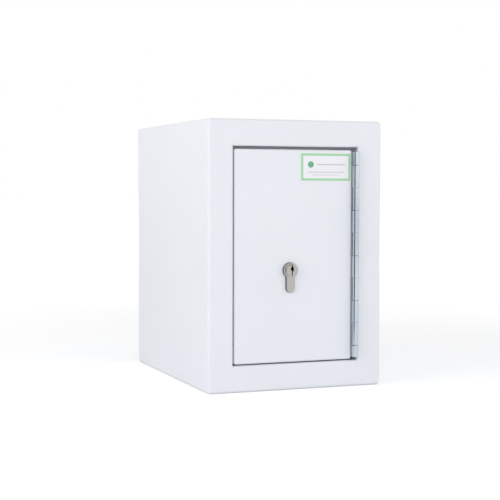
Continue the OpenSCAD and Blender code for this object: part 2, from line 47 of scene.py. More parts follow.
# --- Camera -------------------------------------------------------------------------------
# It stands to the left of the cabinet and a little above its middle height, 1.4 m away,
# with a long lens.
MM = 0.001
front_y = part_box("top_panel")[0].y
camera = bpy.data.objects.new("camera", bpy.data.cameras.new("camera"))
camera.data.sensor_width = 36
camera.data.lens = 89.18
camera.location = (-539.4 * MM, front_y - 1264.1 * MM, 224.4 * MM)
camera.rotation_euler = (radians(90 - 2.858), radians(-0.097), radians(-20.94))
scene.collection.objects.link(camera)
scene.camera = camera

# --- Floor and light ----------------------------------------------------------------------
# A wide white floor in an even white surround, with large soft lamps at the left, in front and
# at the right. Two dark cards that only reflections see give metal its lines.
floor_shade = (0.92, 0.925, 0.935, 1)
floor_size = 40
near_lift, far_lift = 0.24, 0.60
fade_start, fade_end = 0.5, 2.5
# The camera and reflections see the surround at 1, and the matt surfaces are lit by this much
surround_level = 0.65


def math(tree, operation, *values):
    """One maths node; the values are sockets or numbers."""
    node = tree.nodes.new("ShaderNodeMath")
    node.operation = operation
    for socket, value in zip(node.inputs, values):
        if isinstance(value, (int, float)):
            socket.default_value = value
        else:
            tree.links.new(value, socket)
    return node.outputs["Value"]


def to_object(bm, name, material):
    """An object at the origin, shaded smooth but for edges sharper than the crease."""
    crease = radians(35)
    for face in bm.faces:
        face.smooth = True
    for edge in bm.edges:
        edge.smooth = edge.calc_face_angle(0) < crease
    mesh = bpy.data.meshes.new(name)
    bm.to_mesh(mesh)
    bm.free()
    mesh.materials.append(material)
    piece = bpy.data.objects.new(name, mesh)
    scene.collection.objects.link(piece)
    return piece


def matt_material(name, colour):
    """A plain matt material for the floor and the cards."""
    material = bpy.data.materials.new(name)
    material.use_nodes = True
    tree = material.node_tree
    tree.nodes.remove(tree.nodes["Principled BSDF"])
    matt = tree.nodes.new("ShaderNodeBsdfDiffuse")
    matt.inputs["Color"].default_value = colour
    tree.links.new(matt.outputs["BSDF"], tree.nodes["Material Output"].inputs["Surface"])
    return material


world = bpy.data.worlds.new("surround")
world.use_nodes = True
scene.world = world
tree = world.node_tree
rays = tree.nodes.new("ShaderNodeLightPath").outputs
seen = math(tree, "MAXIMUM", rays["Is Camera Ray"], rays["Is Glossy Ray"])
seen = math(tree, "MAXIMUM", seen, rays["Is Transmission Ray"])
tree.nodes["Background"].inputs["Color"].default_value = (1, 1, 1, 1)
brightness = math(tree, "MULTIPLY_ADD", seen, 1 - surround_level, surround_level)
tree.links.new(brightness, tree.nodes["Background"].inputs["Strength"])

# The camera sees the floor lifted towards white, more so further off, so that it has no horizon
floor_material = matt_material("floor_paper", floor_shade)
tree = floor_material.node_tree
rays = tree.nodes.new("ShaderNodeLightPath").outputs
reach = tree.nodes.new("ShaderNodeVectorMath")
reach.operation = "LENGTH"
tree.links.new(tree.nodes.new("ShaderNodeTexCoord").outputs["Object"], reach.inputs[0])
fade = tree.nodes.new("ShaderNodeMapRange")
fade.inputs["From Min"].default_value = fade_start
fade.inputs["From Max"].default_value = fade_end
fade.inputs["To Min"].default_value = near_lift
fade.inputs["To Max"].default_value = far_lift
tree.links.new(reach.outputs["Value"], fade.inputs["Value"])
glow = tree.nodes.new("ShaderNodeEmission")
lift = math(tree, "MULTIPLY", rays["Is Camera Ray"], fade.outputs["Result"])
tree.links.new(lift, glow.inputs["Strength"])
both = tree.nodes.new("ShaderNodeAddShader")
tree.links.new(tree.nodes["Diffuse BSDF"].outputs["BSDF"], both.inputs[0])
tree.links.new(glow.outputs["Emission"], both.inputs[1])
tree.links.new(both.outputs["Shader"], tree.nodes["Material Output"].inputs["Surface"])
bm = bmesh.new()
bmesh.ops.create_grid(bm, x_segments=1, y_segments=1, size=floor_size / 2)
to_object(bm, "floor", floor_material)

card_material = matt_material("card_black", (0.05, 0.09, 0.13, 1))
cards_face = Vector((0, front_y, 0.12))


def dark_card(name, place, width, height):
    """A dark card that faces the front of the cabinet and that only reflections see."""
    turn = (cards_face - Vector(place)).to_track_quat("Z", "Y").to_matrix().to_4x4()
    size = Matrix.Diagonal((width / 2, height / 2, 1, 1))
    bm = bmesh.new()
    bmesh.ops.create_grid(
        bm, x_segments=1, y_segments=1, size=1, matrix=Matrix.Translation(place) @ turn @ size
    )
    card = to_object(bm, name, card_material)
    card.visible_camera = False
    card.visible_diffuse = False
    card.visible_shadow = False


dark_card("card_left", (-0.33, -0.27, 0.14), 0.30, 0.5)
dark_card("card_above", (0.1, -0.35, 1.2), 1.1, 1.1)


lamps_aim = Vector((0, 0, 0.15))


def soft_lamp(name, place, size, watts):
    """A square area lamp aimed at the middle of the cabinet. Reflections see the surround."""
    lamp = bpy.data.objects.new(name, bpy.data.lights.new(name, "AREA"))
    lamp.data.shape = "SQUARE"
    lamp.data.size = size
    lamp.data.energy = watts
    lamp.location = place
    lamp.rotation_euler = (lamps_aim - lamp.location).to_track_quat("-Z", "Y").to_euler()
    lamp.visible_glossy = False
    scene.collection.objects.link(lamp)


soft_lamp("left_lamp", (-1.5, -0.45, 0.7), 1.2, 8.8)
soft_lamp("front_lamp", (-0.3, -2.2, 0.8), 1.4, 8)
soft_lamp("right_lamp", (1.9, -1.2, 0.8), 1.4, 8)

# --- Cabinet body -------------------------------------------------------------------------
# One wrap of 2 mm sheet steel makes the sides, the front frame and the return round the
# doorway. Its corners are welded and ground flush, and the whole is powder coated white.
sheet = 2 * MM
body_bend = 3.5 * MM
edge_bend = 2.5 * MM
body_low = Vector((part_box("left_side_panel")[0].x, front_y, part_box("bottom_panel")[0].z))
top_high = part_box("top_panel")[1]
body_high = Vector((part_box("right_side_panel")[1].x, top_high.y, top_high.z))
doorway_low = Vector((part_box("left_side_panel")[1].x, 0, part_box("bottom_panel")[1].z))
# The top panel ends lowest in the lip, which hangs this far down behind the doorway's top edge
lip_depth = 8 * MM
doorway_high = Vector((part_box("right_side_panel")[0].x, 0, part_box("top_panel")[0].z + lip_depth))
return_depth = 20 * MM
coat_white = (0.80, 0.82, 0.865, 1)


def new_group(name, inputs, outputs):
    """A shader node group with its sockets, and its input and output nodes."""
    group = bpy.data.node_groups.new(name, "ShaderNodeTree")
    for label, kind, value in inputs:
        socket = group.interface.new_socket(label, in_out="INPUT", socket_type=kind)
        socket.default_value = value
    for label, kind in outputs:
        group.interface.new_socket(label, in_out="OUTPUT", socket_type=kind)
    return group, group.nodes.new("NodeGroupInput"), group.nodes.new("NodeGroupOutput")


def noise(tree, coordinates, scale, detail):
    """A noise texture with about scale lumps to the metre; its factor runs about 0.5."""
    node = tree.nodes.new("ShaderNodeTexNoise")
    node.inputs["Scale"].default_value = scale
    node.inputs["Detail"].default_value = detail
    tree.links.new(coordinates, node.inputs["Vector"])
    return node.outputs["Fac"]


def swing(tree, factor, around, amount):
    """around, raised or lowered by up to half of amount as a noise factor leaves 0.5."""
    return math(tree, "MULTIPLY_ADD", math(tree, "SUBTRACT", factor, 0.5), amount, around)


def shaded(tree, colour, factor, amount):
    """A colour whose brightness follows a noise factor."""
    node = tree.nodes.new("ShaderNodeHueSaturation")
    tree.links.new(colour, node.inputs["Color"])
    tree.links.new(swing(tree, factor, 1.0, amount), node.inputs["Value"])
    return node.outputs["Color"]


def bump(tree, height, strength, distance):
    """A Bump node over a height, with its strength from a socket."""
    node = tree.nodes.new("ShaderNodeBump")
    node.inputs["Distance"].default_value = distance
    tree.links.new(height, node.inputs["Height"])
    tree.links.new(strength, node.inputs["Strength"])
    return node.outputs["Normal"]


def object_coordinates(tree):
    """The piece's own coordinates, in metres."""
    return tree.nodes.new("ShaderNodeTexCoord").outputs["Object"]


skin_results = [
    ("Colour", "NodeSocketColor"), ("Roughness", "NodeSocketFloat"), ("Normal", "NodeSocketVector"),
]
# The skin of baked powder paint: a faint orange peel, with slow drifts of shade and gloss
powder_skin, skin_in, skin_out = new_group(
    "powder_skin",
    [
        ("Colour", "NodeSocketColor", coat_white),
        ("Roughness", "NodeSocketFloat", 0.4),
        ("Peel", "NodeSocketFloat", 0.1),
    ],
    skin_results,
)
place = object_coordinates(powder_skin)
peel = noise(powder_skin, place, 620, 3)
drift = noise(powder_skin, place, 9, 2)
gloss_drift = noise(powder_skin, place, 55, 3)
links = powder_skin.links
tint = shaded(powder_skin, skin_in.outputs["Colour"], drift, 0.05)
links.new(tint, skin_out.inputs["Colour"])
gloss = swing(powder_skin, gloss_drift, skin_in.outputs["Roughness"], 0.12)
links.new(gloss, skin_out.inputs["Roughness"])
links.new(bump(powder_skin, peel, skin_in.outputs["Peel"], 0.2 * MM), skin_out.inputs["Normal"])


def surface_material(name, group, values, metallic=0.0):
    """A Principled material whose colour, roughness and normal come from a skin group, which
    is given those values."""
    material = bpy.data.materials.new(name)
    material.use_nodes = True
    tree = material.node_tree
    shader = tree.nodes["Principled BSDF"]
    skin = tree.nodes.new("ShaderNodeGroup")
    skin.node_tree = group
    for label, value in values.items():
        skin.inputs[label].default_value = value
    tree.links.new(skin.outputs["Colour"], shader.inputs["Base Color"])
    for label in ("Roughness", "Normal"):
        tree.links.new(skin.outputs[label], shader.inputs[label])
    shader.inputs["Metallic"].default_value = metallic
    return material


def box_mesh(low, high):
    """A box between two corners."""
    bm = bmesh.new()
    bmesh.ops.create_cube(bm, size=1)
    low, high = Vector(low), Vector(high)
    bmesh.ops.scale(bm, verts=bm.verts, vec=high - low)
    bmesh.ops.translate(bm, verts=bm.verts, vec=(low + high) / 2)
    return bm


def round_edges(bm, edges, radius, segments):
    """Rounds those edges to an arc."""
    bmesh.ops.bevel(
        bm, geom=edges, offset=radius, offset_type="OFFSET", segments=segments,
        profile=0.5, affect="EDGES", material=-1, clamp_overlap=True,
    )


def add_wall(piece, thickness, offset=-1):
    """Gives an open skin its sheet thickness: inwards, or to both sides with an offset of 0."""
    wall = piece.modifiers.new("wall", "SOLIDIFY")
    wall.thickness = thickness
    wall.offset = offset
    wall.use_even_offset = True


def soften(piece, width):
    """Breaks a piece's sharp edges, as tumbling or a coat of paint does."""
    edge = piece.modifiers.new("edges", "BEVEL")
    edge.width = width
    edge.segments = 2
    edge.limit_method = "ANGLE"
    edge.angle_limit = radians(50)
    edge.harden_normals = True


def keep_flats_flat(piece):
    """Weights the shading by area, so that a bend doesn't shade the flat beside it."""
    weighted = piece.modifiers.new("flats", "WEIGHTED_NORMAL")
    weighted.keep_sharp = True
    weighted.weight = 100


# Coordinates that differ by less than this are the same
hair = 0.001 * MM


def distance(face, place):
    """How far a face's middle lies from a place."""
    return (face.calc_center_median() - place).length


def facing(bm, axis, at):
    """Faces that lie flat across an axis (0 to 2) at that coordinate."""
    return [f for f in bm.faces if all(abs(v.co[axis] - at) < hair for v in f.verts)]


def edges_in_plane(bm, axis, at):
    """Edges with both ends at that coordinate of an axis."""
    return [e for e in bm.edges if all(abs(v.co[axis] - at) < hair for v in e.verts)]


def moved(geometry):
    """The vertices in what an operator gave back."""
    return [v for v in geometry if isinstance(v, bmesh.types.BMVert)]


def stands_for(piece, body, slot, *nodes):
    """The piece, its flats evenly shaded, moves with a body and takes the place of those nodes.
    The slot is not used."""
    keep_flats_flat(piece)
    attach(piece, body)
    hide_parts(*nodes)


powder_coat = surface_material(
    "powder_coat", powder_skin, {"Colour": coat_white, "Roughness": 0.38, "Peel": 0.06}
)

bm = box_mesh(body_low, body_high)
bmesh.ops.delete(bm, geom=facing(bm, 1, body_high.y), context="FACES_ONLY")
back_edges = edges_in_plane(bm, 1, body_high.y)
round_edges(bm, [e for e in bm.edges if e not in back_edges], body_bend, 8)
# The frame's flat is inset by its side border all round, and the doorway's foot and head then
# move to their own heights
frame_flat = facing(bm, 1, front_y)
inset = doorway_low.x - body_low.x - body_bend
bmesh.ops.inset_region(bm, faces=frame_flat, thickness=inset, use_even_offset=True)
middle = (body_low + body_high) / 2
front_middle = Vector((middle.x, front_y, middle.z))
doorway = min(facing(bm, 1, front_y), key=lambda f: distance(f, front_middle))
for v in doorway.verts:
    v.co.z = doorway_low.z if v.co.z < middle.z else doorway_high.z
rim = list(doorway.edges)
bmesh.ops.delete(bm, geom=[doorway], context="FACES_ONLY")
folded_in = bmesh.ops.extrude_edge_only(bm, edges=rim)["geom"]
bmesh.ops.translate(bm, verts=moved(folded_in), vec=(0, return_depth, 0))
round_edges(bm, rim, edge_bend, 6)
body_shell = to_object(bm, "body_shell", powder_coat)
add_wall(body_shell, sheet)
# A wider break would meet itself inside the doorway's tight bends
soften(body_shell, 0.1 * MM)
stands_for(
    body_shell, "cabinet", "powder_coat",
    "left_side_panel", "right_side_panel", "top_panel", "bottom_panel",
)

# The lip hangs from the rear of the doorway's top return, bedded halfway into its sheet
lip_rear = front_y + return_depth
top_lip = to_object(
    box_mesh(
        (doorway_low.x, lip_rear - sheet, doorway_high.z - lip_depth),
        (doorway_high.x, lip_rear, doorway_high.z + sheet / 2),
    ),
    "top_lip", powder_coat,
)
soften(top_lip, 0.25 * MM)
stands_for(top_lip, "cabinet", "powder_coat", "top_panel")

# --- Back plate ---------------------------------------------------------------------------
# A flat plate of the same sheet, welded in between the four sides and coated with them. It has
# a hole near each corner for a wall bolt.
plate_low, plate_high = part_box("back_panel")
hole_d = 11 * MM
hole_spacing = Vector((120 * MM, 0, 200 * MM))
plate_middle = (plate_low + plate_high) / 2


def fill_flat(bm, edges, normal):
    """Fills between an outline and the holes in it, with as few faces as that takes."""
    filled = bmesh.ops.triangle_fill(bm, edges=edges, use_beauty=True, normal=normal)["geom"]
    across = [e for e in filled if isinstance(e, bmesh.types.BMEdge) and e not in edges]
    bmesh.ops.dissolve_limit(bm, angle_limit=radians(1), edges=across)


bm = bmesh.new()
corners = [(x, plate_high.y, z) for x, z in (
    (plate_low.x, plate_low.z), (plate_high.x, plate_low.z),
    (plate_high.x, plate_high.z), (plate_low.x, plate_high.z),
)]
verts = [bm.verts.new(c) for c in corners]
outline = [bm.edges.new((a, b)) for a, b in zip(verts, verts[1:] + verts[:1])]
rear_middle = Vector((plate_middle.x, plate_high.y, plate_middle.z))
upright = Matrix.Rotation(radians(90), 4, "X")
holes = []
for side in (-1, 1):
    for end in (-1, 1):
        hole_at = rear_middle + Vector((side * hole_spacing.x, 0, end * hole_spacing.z)) / 2
        circle = bmesh.ops.create_circle(
            bm, segments=40, radius=hole_d / 2, matrix=Matrix.Translation(hole_at) @ upright
        )
        holes += list({e for v in circle["verts"] for e in v.link_edges})
fill_flat(bm, outline + holes, (0, 1, 0))
back_plate = to_object(bm, "back_plate", powder_coat)
add_wall(back_plate, sheet)
soften(back_plate, 0.3 * MM)
stands_for(back_plate, "cabinet", "powder_coat", "back_panel")

# --- Door ---------------------------------------------------------------------------------
# A tray of the same sheet, folded back on all four edges, with the euro profile cut through
# its face for the cylinder.
door_low, door_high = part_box("door_panel")
key_low, key_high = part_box("cylinder_plug")
key_axis = Vector(((key_low.x + key_high.x) / 2, 0, (key_low.z + key_high.z) / 2))
profile_r = 8.5 * MM
stem_r = 5 * MM
stem_drop = 19.5 * MM
cutout_play = 0.2 * MM


def euro_outline(grow):
    """Points round the cylinder's profile, anticlockwise from the head's right-hand foot."""
    head_r, foot_r = profile_r + grow, stem_r + grow
    foot = atan2(-(head_r ** 2 - foot_r ** 2) ** 0.5, foot_r)
    turns = 40
    head = [foot + (pi - 2 * foot) * i / turns for i in range(turns + 1)]
    points = [(head_r * cos(a), head_r * sin(a)) for a in head]
    foot_turns = 16
    sweep = [pi + pi * i / foot_turns for i in range(foot_turns + 1)]
    return points + [(foot_r * cos(a), foot_r * sin(a) - stem_drop) for a in sweep]


def loop_of(bm, points, y):
    """A closed loop of edges in X and Z, about the key's axis, at depth y."""
    verts = [bm.verts.new((key_axis.x + x, y, key_axis.z + z)) for x, z in points]
    return [bm.edges.new((a, b)) for a, b in zip(verts, verts[1:] + verts[:1])]


bm = box_mesh(door_low, door_high)
bmesh.ops.delete(bm, geom=facing(bm, 1, door_high.y), context="FACES_ONLY")
back_edges = edges_in_plane(bm, 1, door_high.y)
round_edges(bm, [e for e in bm.edges if e not in back_edges], edge_bend, 6)
face = max(facing(bm, 1, door_low.y), key=lambda f: f.calc_area())
rim = list(face.edges)
bmesh.ops.delete(bm, geom=[face], context="FACES_ONLY")
hole = loop_of(bm, euro_outline(cutout_play), door_low.y)
fill_flat(bm, rim + hole, (0, -1, 0))
door_skin = to_object(bm, "door_skin", powder_coat)
add_wall(door_skin, sheet)
soften(door_skin, 0.25 * MM)
stands_for(door_skin, "door", "powder_coat", "door_panel")

# --- Hinge --------------------------------------------------------------------------------
# A full-length hinge in bright zinc-plated strip. The tabs of each leaf are rolled round a
# plain steel pin, turn about, and the leaves are welded to the frame and to the door's edge.
pin_low, pin_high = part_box("hinge_pin")
hinge_axis = (pin_low + pin_high) / 2
barrel_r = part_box("frame_hinge_leaf")[1].x - hinge_axis.x
leaf_t = 1.5 * MM
behind_barrel = 0.4 * MM
leaf_front = hinge_axis.y + barrel_r + behind_barrel
leaf_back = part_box("frame_hinge_leaf")[1].y
knuckle_pitch = 25.4 * MM
# The strip is cut to length through its lowest knuckle, and what is left of that is this long
cut_knuckle = 13.6 * MM
inner_joints = [pin_low.z + cut_knuckle + i * knuckle_pitch for i in range(9)]
joints = [pin_low.z, *inner_joints, pin_high.z]
# How far each tab is rolled round the pin, its end stopping short of the leaf
roll = radians(302)


def mixed(tree, factor, first, second):
    """Two colours, sockets or plain, mixed by a factor."""
    node = tree.nodes.new("ShaderNodeMix")
    node.data_type = "RGBA"
    tree.links.new(factor, node.inputs["Factor"])
    for label, colour in (("A", first), ("B", second)):
        socket = next(s for s in node.inputs if s.name == label and s.type == "RGBA")
        if isinstance(colour, tuple):
            socket.default_value = colour
        else:
            tree.links.new(colour, socket)
    return next(s for s in node.outputs if s.type == "RGBA")


# A plated skin: fine drawn scratches along the piece, a grain of crystals, and a slow drift
# between two tints of the passivation
plated_skin, skin_in, skin_out = new_group(
    "plated_skin",
    [
        ("Colour", "NodeSocketColor", (0.7, 0.7, 0.7, 1)),
        ("Tint", "NodeSocketColor", (0.6, 0.65, 0.7, 1)),
        ("Roughness", "NodeSocketFloat", 0.3),
        ("Grain", "NodeSocketFloat", 0.1),
        ("Stretch", "NodeSocketVector", (1, 1, 1)),
    ],
    skin_results,
)
links = plated_skin.links
place = object_coordinates(plated_skin)
drawn = plated_skin.nodes.new("ShaderNodeVectorMath")
drawn.operation = "MULTIPLY"
links.new(place, drawn.inputs[0])
links.new(skin_in.outputs["Stretch"], drawn.inputs[1])
scratches = noise(plated_skin, drawn.outputs["Vector"], 2600, 3)
crystals = noise(plated_skin, place, 900, 2)
bloom = noise(plated_skin, place, 38, 2)
tinted = mixed(plated_skin, bloom, skin_in.outputs["Colour"], skin_in.outputs["Tint"])
links.new(shaded(plated_skin, tinted, crystals, 0.10), skin_out.inputs["Colour"])
gloss = swing(plated_skin, scratches, skin_in.outputs["Roughness"], 0.16)
links.new(gloss, skin_out.inputs["Roughness"])
grain = bump(plated_skin, scratches, skin_in.outputs["Grain"], 0.02 * MM)
links.new(grain, skin_out.inputs["Normal"])

zinc_plate = surface_material(
    "zinc_plate", plated_skin,
    {
        "Colour": (0.82, 0.83, 0.83, 1), "Tint": (0.58, 0.70, 0.82, 1), "Roughness": 0.16,
        "Grain": 0.3, "Stretch": (1, 1, 0.04),
    },
    metallic=1.0,
)
plain_steel = surface_material(
    "plain_steel", plated_skin,
    {
        "Colour": (0.50, 0.50, 0.50, 1), "Tint": (0.44, 0.44, 0.45, 1), "Roughness": 0.34,
        "Grain": 0.3, "Stretch": (1, 1, 1),
    },
    metallic=1.0,
)


def whole(face):
    """A face with its edges and corners, so that an extrusion takes the old face away."""
    return [face, *face.edges, *face.verts]


def cut_through(bm, point, normal):
    """New edges wherever a plane cuts the mesh, which stays whole."""
    every = bm.verts[:] + bm.edges[:] + bm.faces[:]
    bmesh.ops.bisect_plane(bm, geom=every, plane_co=point, plane_no=normal)


def hinge_leaf(name, side, first, rub, gap):
    """A leaf to the right (side 1) or left (-1) of the pin, with every second tab from first
    rolled. Each tab stops short of its joints by rub below and gap above, but for the leaf's
    foot."""
    inner, outer = (hinge_axis.x + side * r for r in (barrel_r - leaf_t, barrel_r))
    bm = box_mesh(
        (min(inner, outer), leaf_front, pin_low.z), (max(inner, outer), leaf_back, pin_high.z)
    )
    tabs = [
        (joints[i] + (rub if i else 0), joints[i + 1] - gap)
        for i in range(first, len(joints) - 1, 2)
    ]
    for tab_end in (z for tab in tabs for z in tab):
        cut_through(bm, (0, 0, tab_end), (0, 0, 1))
    for low, high in tabs:
        tab = next(f for f in facing(bm, 1, leaf_front) if low < f.calc_center_median().z < high)
        out = bmesh.ops.extrude_face_region(bm, geom=whole(tab))["geom"]
        bmesh.ops.translate(bm, verts=moved(out), vec=(0, hinge_axis.y - leaf_front, 0))
        edge = next(f for f in out if isinstance(f, bmesh.types.BMFace))
        bmesh.ops.spin(
            bm, geom=whole(edge), cent=hinge_axis, axis=(0, 0, 1), angle=-side * roll,
            steps=36, use_duplicate=False,
        )
    bmesh.ops.recalc_face_normals(bm, faces=bm.faces)
    round_edges(bm, [e for e in bm.edges if e.calc_face_angle(0) > radians(60)], 0.3 * MM, 2)
    return to_object(bm, name, zinc_plate)


frame_leaf = hinge_leaf("frame_leaf", 1, 1, 0, 0)
stands_for(frame_leaf, "cabinet", "zinc_plate", "frame_hinge_leaf")
door_leaf = hinge_leaf("door_leaf", -1, 0, 0.1 * MM, 0.6 * MM)
stands_for(door_leaf, "door", "zinc_plate", "door_hinge_leaf")

bm = bmesh.new()
pin_r = (pin_high.x - pin_low.x) / 2
bmesh.ops.create_cone(
    bm, cap_ends=True, segments=40, radius1=pin_r, radius2=pin_r, depth=pin_high.z - pin_low.z,
    matrix=Matrix.Translation(hinge_axis),
)
pin_ends = edges_in_plane(bm, 2, pin_low.z) + edges_in_plane(bm, 2, pin_high.z)
round_edges(bm, pin_ends, 0.7 * MM, 4)
pin_rod = to_object(bm, "pin_rod", plain_steel)
stands_for(pin_rod, "cabinet", "plain_steel", "hinge_pin")

# --- Cylinder -----------------------------------------------------------------------------
# A nickel-plated brass housing in the euro profile, with a turned plug that the key enters.
# The front edges of both are chamfered, and the key's way is broached through the plug.
satin_nickel = surface_material(
    "satin_nickel", plated_skin,
    {
        "Colour": (0.60, 0.58, 0.545, 1), "Tint": (0.54, 0.525, 0.50, 1), "Roughness": 0.3,
        "Grain": 0.25, "Stretch": (1, 1, 0.12),
    },
    metallic=1.0,
)


def copy_of(node):
    """A CAD node's mesh with its triangles joined up and its flats made whole."""
    bm = bmesh.new()
    bm.from_mesh(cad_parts[node].data)
    bmesh.ops.remove_doubles(bm, verts=bm.verts, dist=hair)
    bmesh.ops.dissolve_limit(bm, angle_limit=radians(0.5), verts=bm.verts, edges=bm.edges)
    return bm


def sharp_edges(bm):
    """Edges that turn by more than 40 degrees."""
    return [e for e in bm.edges if e.calc_face_angle(0) > radians(40)]


# The housing's milled flanks and chamfer are duller under their plate than its face, and darker:
# partly a real duller finish, partly painted shade and dark reflection from beside the door
milled_and_shaded_nickel = surface_material(
    "milled_and_shaded_nickel", plated_skin,
    {
        "Colour": (0.42, 0.42, 0.43, 1), "Tint": (0.37, 0.37, 0.39, 1), "Roughness": 0.38,
        "Grain": 0.5, "Stretch": (1, 0.06, 1),
    },
    metallic=1.0,
)


def cylinder_piece(name, body, node, sides=None):
    """A copy of one of the cylinder's nodes in satin nickel, its chamfer and flanks in the
    darker material given for its sides, if there is one, whose darkness is partly painted shade."""
    bm = copy_of(node)
    front = min(v.co.y for v in bm.verts)
    round_edges(bm, [e for e in edges_in_plane(bm, 1, front) if e in sharp_edges(bm)], 0.08 * MM, 2)
    if sides:
        bm.normal_update()
        # Faces that don't look forward take the sides' darker material, partly painted shade
        for face in bm.faces:
            looks_forward = face.normal.y < -0.8
            face.material_index = 0 if looks_forward else 1
    piece = to_object(bm, name, satin_nickel)
    if sides:
        piece.data.materials.append(sides)
    stands_for(piece, body, "satin_nickel", node)


cylinder_piece("cylinder_housing", "door", "cylinder_body", milled_and_shaded_nickel)
cylinder_piece("key_plug", "lock_plug", "cylinder_plug")

# --- Cam ----------------------------------------------------------------------------------
# A sintered steel cam on the plug's tail, whose nose drives the bolt as the key turns. An
# open spring-steel ring, snapped into a groove, keeps it there.
bm = copy_of("cylinder_cam")
round_edges(bm, sharp_edges(bm), 0.3 * MM, 2)
cam = to_object(bm, "lock_cam", plain_steel)
stands_for(cam, "lock_plug", "plain_steel", "cylinder_cam")


def finish_node(node, material):
    """A CAD node whose own shape is right takes a finish."""
    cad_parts[node].material_slots[0].material = material


finish_node("cam_clip", plain_steel)

# --- Pin stacks ---------------------------------------------------------------------------
# Five stacks in the cylinder: a turned brass key pin in the plug, a brass driver pin below
# it, and a fine coil spring of steel wire in a bore that is closed at its foot.
brass = surface_material(
    "brass", plated_skin,
    {
        "Colour": (0.75, 0.56, 0.27, 1), "Tint": (0.66, 0.49, 0.25, 1), "Roughness": 0.3,
        "Grain": 0.2, "Stretch": (1, 1, 1),
    },
    metallic=1.0,
)
finish_node("key_pins", brass)
finish_node("driver_pins", brass)
finish_node("pin_springs", plain_steel)

# --- Lock case ----------------------------------------------------------------------------
# A shallow folded tray and a flat cover in zinc-plated steel, clamped to their brackets by
# four screws. One long screw through the case holds the cylinder.
for node, name, edge in (("lock_case", "lock_tray", 0.5), ("lock_cover", "lock_lid", 0.3)):
    bm = copy_of(node)
    round_edges(bm, sharp_edges(bm), edge * MM, 2)
    stands_for(to_object(bm, name, zinc_plate), "door", "zinc_plate", node)

bm = copy_of("lock_screws")
round_edges(bm, sharp_edges(bm), 0.15 * MM, 1)
stands_for(to_object(bm, "case_screws", plain_steel), "door", "plain_steel", "lock_screws")
bm = copy_of("cylinder_screw")
round_edges(bm, sharp_edges(bm), 0.1 * MM, 1)
stands_for(to_object(bm, "fixing_screw", plain_steel), "door", "plain_steel", "cylinder_screw")

# --- Deadbolt -----------------------------------------------------------------------------
# A nickel-plated bar with a square head, which slides in the case. A turned post through its
# slot guides it, and a bowed strip of spring steel above it keeps it from rattling.
bm = copy_of("deadbolt")
round_edges(bm, sharp_edges(bm), 0.3 * MM, 2)
stands_for(to_object(bm, "sliding_bolt", satin_nickel), "bolt", "satin_nickel", "deadbolt")
finish_node("bolt_guide_post", plain_steel)
finish_node("bolt_spring", plain_steel)

# --- Lock brackets ------------------------------------------------------------------------
# Two Z-folded brackets of thin sheet, welded inside the door and coated with it. They hold
# the lock case off the door's inner face.
bracket_t = 1.5 * MM


def folded(points, run, bend_r):
    """Sheet folded along a line of points, which is its middle surface, and drawn out by run."""
    bm = bmesh.new()
    verts = [bm.verts.new(p) for p in points]
    edges = [bm.edges.new(pair) for pair in zip(verts, verts[1:])]
    drawn_out = bmesh.ops.extrude_edge_only(bm, edges=edges)["geom"]
    bmesh.ops.translate(bm, verts=moved(drawn_out), vec=run)
    round_edges(bm, [e for e in bm.edges if len(e.link_faces) == 2], bend_r, 5)
    bmesh.ops.recalc_face_normals(bm, faces=bm.faces)
    return bm


def sheet_piece(bm, name, thickness, body, node):
    """A coated piece of folded sheet that stands for a CAD node."""
    piece = to_object(bm, name, powder_coat)
    add_wall(piece, thickness, 0)
    soften(piece, 0.25 * MM)
    stands_for(piece, body, "powder_coat", node)


case_low, case_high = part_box("lock_case")
half = bracket_t / 2
for level in ("lower", "upper"):
    low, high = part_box(f"lock_bracket_{level}")
    if level == "upper":
        foot_z, web_z, flange_z = high.z, case_high.z + half, low.z
    else:
        foot_z, web_z, flange_z = low.z, case_low.z - half, high.z
    line = [
        (low.x, low.y + half, foot_z), (low.x, low.y + half, web_z),
        (low.x, high.y - half, web_z), (low.x, high.y - half, flange_z),
    ]
    bracket = folded(line, (high.x - low.x, 0, 0), 1.6 * MM)
    sheet_piece(bracket, f"bracket_{level}", bracket_t, "door", f"lock_bracket_{level}")

# --- Anti-jemmy strip ---------------------------------------------------------------------
# A folded strip of the door's own sheet, welded inside its hinge edge. It hooks behind the
# frame, so that a shut door stays in even with its hinge cut away.
low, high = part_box("anti_jemmy_strip")
half = sheet / 2


def angle_line(low, high, half):
    """The middle line of an angle: back along its left side, then across to its right."""
    back_y = high.y - half
    return [(low.x + half, low.y, low.z), (low.x + half, back_y, low.z), (high.x, back_y, low.z)]


strip = folded(angle_line(low, high, half), (0, 0, high.z - low.z), 2 * MM)
sheet_piece(strip, "hook_strip", sheet, "door", "anti_jemmy_strip")

# --- Bolt keep ----------------------------------------------------------------------------
# A folded plate of the same sheet, welded behind the doorway's return on the lock side. The
# thrown bolt shoots into its window.
low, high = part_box("bolt_keep")
bolt_low, bolt_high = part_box("deadbolt")
window_play = 1 * MM
head_h = 25 * MM
head_z = bolt_high.z - head_h
web_x, back_y = high.x - half, high.y - half
line = [(web_x, low.y, low.z), (web_x, back_y, low.z), (low.x, back_y, low.z)]
bm = folded(line, (0, 0, high.z - low.z), 2 * MM)
window_low = Vector((web_x, bolt_low.y - window_play, head_z - window_play))
window_high = Vector((web_x, bolt_high.y + window_play, bolt_high.z + window_play))
for normal in ((0, 1, 0), (0, 0, 1)):
    for corner in (window_low, window_high):
        cut_through(bm, corner, normal)
window_middle = (window_low + window_high) / 2
window = min(facing(bm, 0, web_x), key=lambda f: distance(f, window_middle))
bmesh.ops.delete(bm, geom=[window], context="FACES_ONLY")
sheet_piece(bm, "keep_plate", sheet, "cabinet", "bolt_keep")

# --- Door stops ---------------------------------------------------------------------------
# Two small angles of the same sheet, welded behind the lock side of the doorway. Each has a
# stick-on buffer of black rubber that cushions the door as it shuts.

